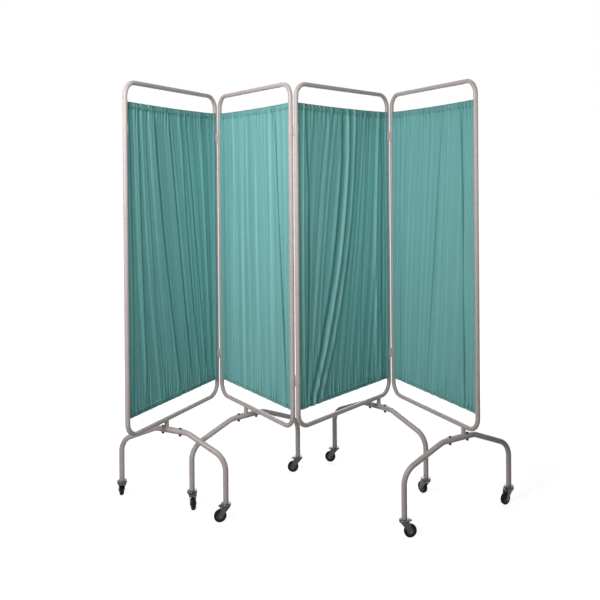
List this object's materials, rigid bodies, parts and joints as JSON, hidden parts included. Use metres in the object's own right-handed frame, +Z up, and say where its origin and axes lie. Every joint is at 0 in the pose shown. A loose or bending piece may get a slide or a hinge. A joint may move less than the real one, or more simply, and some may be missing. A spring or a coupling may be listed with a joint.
{
  "type": "folding privacy screen",
  "caption": "Folding ward screen on castors: tube frames with gathered curtains, joined by double-sleeve hinge clips, each on an arched leg that nests when folded.",
  "frame": {"origin": "on the floor, under the middle of the standing screen's bounding box", "axes": "+Z up; +X along the row of panels, from the left panel to the right as seen from the front; +Y to the back"},
  "size_m": [1.7, 0.7426, 1.7595],
  "materials": {
    "frame_paint": "satin warm light grey stove enamel",
    "curtain_cloth": "plain-woven teal green polyester cotton",
    "wire_cover": "white plastic cover over sprung wire",
    "dark_bolts": "blackened steel",
    "socket_steel": "plain steel",
    "castor_plate": "dark zinc plate",
    "castor_fork": "dark grey pressed steel",
    "castor_tyre": "black tread, dark grey centre"
  },
  "bodies": {
    "panel_1": {"panel_frame_1": "frame_paint", "curtain_1": "curtain_cloth", "curtain_wires_1": "wire_cover", "saddle_bracket_1": "frame_paint", "leg_arch_1": "frame_paint", "leg_bolts_1": "dark_bolts", "castor_sockets_1": "socket_steel", "castor_stems_1": "castor_plate"},
    "swivel_1_back": {"castor_fork_1_back": "castor_fork", "castor_axle_1_back": "castor_plate"},
    "wheel_1_back": {"castor_wheel_1_back": "castor_tyre"},
    "swivel_1_front": {"castor_fork_1_front": "castor_fork", "castor_axle_1_front": "castor_plate"},
    "wheel_1_front": {"castor_wheel_1_front": "castor_tyre"},
    "panel_2": {"panel_frame_2": "frame_paint", "curtain_2": "curtain_cloth", "curtain_wires_2": "wire_cover", "saddle_bracket_2": "frame_paint", "leg_arch_2": "frame_paint", "leg_bolts_2": "dark_bolts", "castor_sockets_2": "socket_steel", "castor_stems_2": "castor_plate"},
    "swivel_2_back": {"castor_fork_2_back": "castor_fork", "castor_axle_2_back": "castor_plate"},
    "wheel_2_back": {"castor_wheel_2_back": "castor_tyre"},
    "swivel_2_front": {"castor_fork_2_front": "castor_fork", "castor_axle_2_front": "castor_plate"},
    "wheel_2_front": {"castor_wheel_2_front": "castor_tyre"},
    "panel_3": {"panel_frame_3": "frame_paint", "curtain_3": "curtain_cloth", "curtain_wires_3": "wire_cover", "saddle_bracket_3": "frame_paint", "leg_arch_3": "frame_paint", "leg_bolts_3": "dark_bolts", "castor_sockets_3": "socket_steel", "castor_stems_3": "castor_plate"},
    "swivel_3_back": {"castor_fork_3_back": "castor_fork", "castor_axle_3_back": "castor_plate"},
    "wheel_3_back": {"castor_wheel_3_back": "castor_tyre"},
    "swivel_3_front": {"castor_fork_3_front": "castor_fork", "castor_axle_3_front": "castor_plate"},
    "wheel_3_front": {"castor_wheel_3_front": "castor_tyre"},
    "panel_4": {"panel_frame_4": "frame_paint", "curtain_4": "curtain_cloth", "curtain_wires_4": "wire_cover", "saddle_bracket_4": "frame_paint", "leg_arch_4": "frame_paint", "leg_bolts_4": "dark_bolts", "castor_sockets_4": "socket_steel", "castor_stems_4": "castor_plate"},
    "swivel_4_back": {"castor_fork_4_back": "castor_fork", "castor_axle_4_back": "castor_plate"},
    "wheel_4_back": {"castor_wheel_4_back": "castor_tyre"},
    "swivel_4_front": {"castor_fork_4_front": "castor_fork", "castor_axle_4_front": "castor_plate"},
    "wheel_4_front": {"castor_wheel_4_front": "castor_tyre"},
    "hinge_12": {"hinge_clips_12": "frame_paint"},
    "hinge_23": {"hinge_clips_23": "frame_paint"},
    "hinge_34": {"hinge_clips_34": "frame_paint"}
  },
  "joints": [
    {"name": "fold_12", "type": "hinge", "parent": "panel_2", "child": "hinge_12", "pos_m": [-0.4365, 0.23661, 1.06], "axis": [0, 0, 1], "range_deg": [-58.5, 31.5]},
    {"name": "fold_12_panel", "type": "hinge", "parent": "hinge_12", "child": "panel_1", "pos_m": [-0.45828, 0.23355, 1.06], "axis": [0, 0, 1], "range_deg": [-58.5, 31.5]},
    {"name": "fold_23", "type": "hinge", "parent": "panel_2", "child": "hinge_23", "pos_m": [-0.06248, -0.21711, 1.06], "axis": [0, 0, 1], "range_deg": [-50, 40]},
    {"name": "fold_23_panel", "type": "hinge", "parent": "hinge_23", "child": "panel_3", "pos_m": [-0.04048, -0.2173, 1.06], "axis": [0, 0, 1], "range_deg": [-50, 40]},
    {"name": "fold_34", "type": "hinge", "parent": "panel_3", "child": "hinge_34", "pos_m": [0.34139, 0.22982, 1.06], "axis": [0, 0, -1], "range_deg": [-54.25, 35.75]},
    {"name": "fold_34_panel", "type": "hinge", "parent": "hinge_34", "child": "panel_4", "pos_m": [0.36332, 0.228, 1.06], "axis": [0, 0, -1], "range_deg": [-54.25, 35.75]},
    {"name": "swivel_1_back", "type": "hinge", "parent": "panel_1", "child": "swivel_1_back", "pos_m": [-0.82415, 0.00151, 0.073], "axis": [0, 0, 1], "continuous": true},
    {"name": "spin_1_back", "type": "hinge", "parent": "swivel_1_back", "child": "wheel_1_back", "pos_m": [-0.83387, 0.02235, 0.025], "axis": [0.9063, 0.4226, 0], "continuous": true},
    {"name": "swivel_1_front", "type": "hinge", "parent": "panel_1", "child": "swivel_1_front", "pos_m": [-0.33444, -0.21142, 0.073], "axis": [0, 0, 1], "continuous": true},
    {"name": "spin_1_front", "type": "hinge", "parent": "swivel_1_front", "child": "wheel_1_front", "pos_m": [-0.35605, -0.21929, 0.025], "axis": [-0.342, 0.9397, 0], "continuous": true},
    {"name": "swivel_2_back", "type": "hinge", "parent": "panel_2", "child": "swivel_2_back", "pos_m": [-0.08591, 0.24365, 0.073], "axis": [0, 0, 1], "continuous": true},
    {"name": "spin_2_back", "type": "hinge", "parent": "swivel_2_back", "child": "wheel_2_back", "pos_m": [-0.10891, 0.24365, 0.025], "axis": [0, 1, 0], "continuous": true},
    {"name": "swivel_2_front", "type": "hinge", "parent": "panel_2", "child": "swivel_2_front", "pos_m": [-0.49796, -0.09601, 0.073], "axis": [0, 0, 1], "continuous": true},
    {"name": "spin_2_front", "type": "hinge", "parent": "swivel_2_front", "child": "wheel_2_front", "pos_m": [-0.48897, -0.11718, 0.025], "axis": [-0.9205, -0.3907, 0], "continuous": true},
    {"name": "swivel_3_back", "type": "hinge", "parent": "panel_3", "child": "swivel_3_back", "pos_m": [0.08264, 0.35029, 0.073], "axis": [0, 0, 1], "continuous": true},
    {"name": "spin_3_back", "type": "hinge", "parent": "swivel_3_back", "child": "wheel_3_back", "pos_m": [0.06042, 0.35624, 0.025], "axis": [0.2588, 0.9659, 0], "continuous": true},
    {"name": "swivel_3_front", "type": "hinge", "parent": "panel_3", "child": "swivel_3_front", "pos_m": [0.48869, 0.00349, 0.073], "axis": [0, 0, 1], "continuous": true},
    {"name": "spin_3_front", "type": "hinge", "parent": "swivel_3_front", "child": "wheel_3_front", "pos_m": [0.4755, 0.02233, 0.025], "axis": [0.8192, 0.5736, 0], "continuous": true},
    {"name": "swivel_4_back", "type": "hinge", "parent": "panel_4", "child": "swivel_4_back", "pos_m": [0.82903, -0.07526, 0.073], "axis": [0, 0, 1], "continuous": true},
    {"name": "spin_4_back", "type": "hinge", "parent": "swivel_4_back", "child": "wheel_4_back", "pos_m": [0.81141, -0.09005, 0.025], "axis": [-0.6428, 0.766, 0], "continuous": true},
    {"name": "swivel_4_front", "type": "hinge", "parent": "panel_4", "child": "swivel_4_front", "pos_m": [0.3713, -0.35029, 0.073], "axis": [0, 0, 1], "continuous": true},
    {"name": "spin_4_front", "type": "hinge", "parent": "swivel_4_front", "child": "wheel_4_front", "pos_m": [0.3938, -0.34551, 0.025], "axis": [0.2079, -0.9781, 0], "continuous": true}
  ],
  "couplings": [
    {"joint": "fold_12_panel", "follows": "fold_12", "ratio": 1},
    {"joint": "fold_23_panel", "follows": "fold_23", "ratio": 1},
    {"joint": "fold_34_panel", "follows": "fold_34", "ratio": 1}
  ]
}
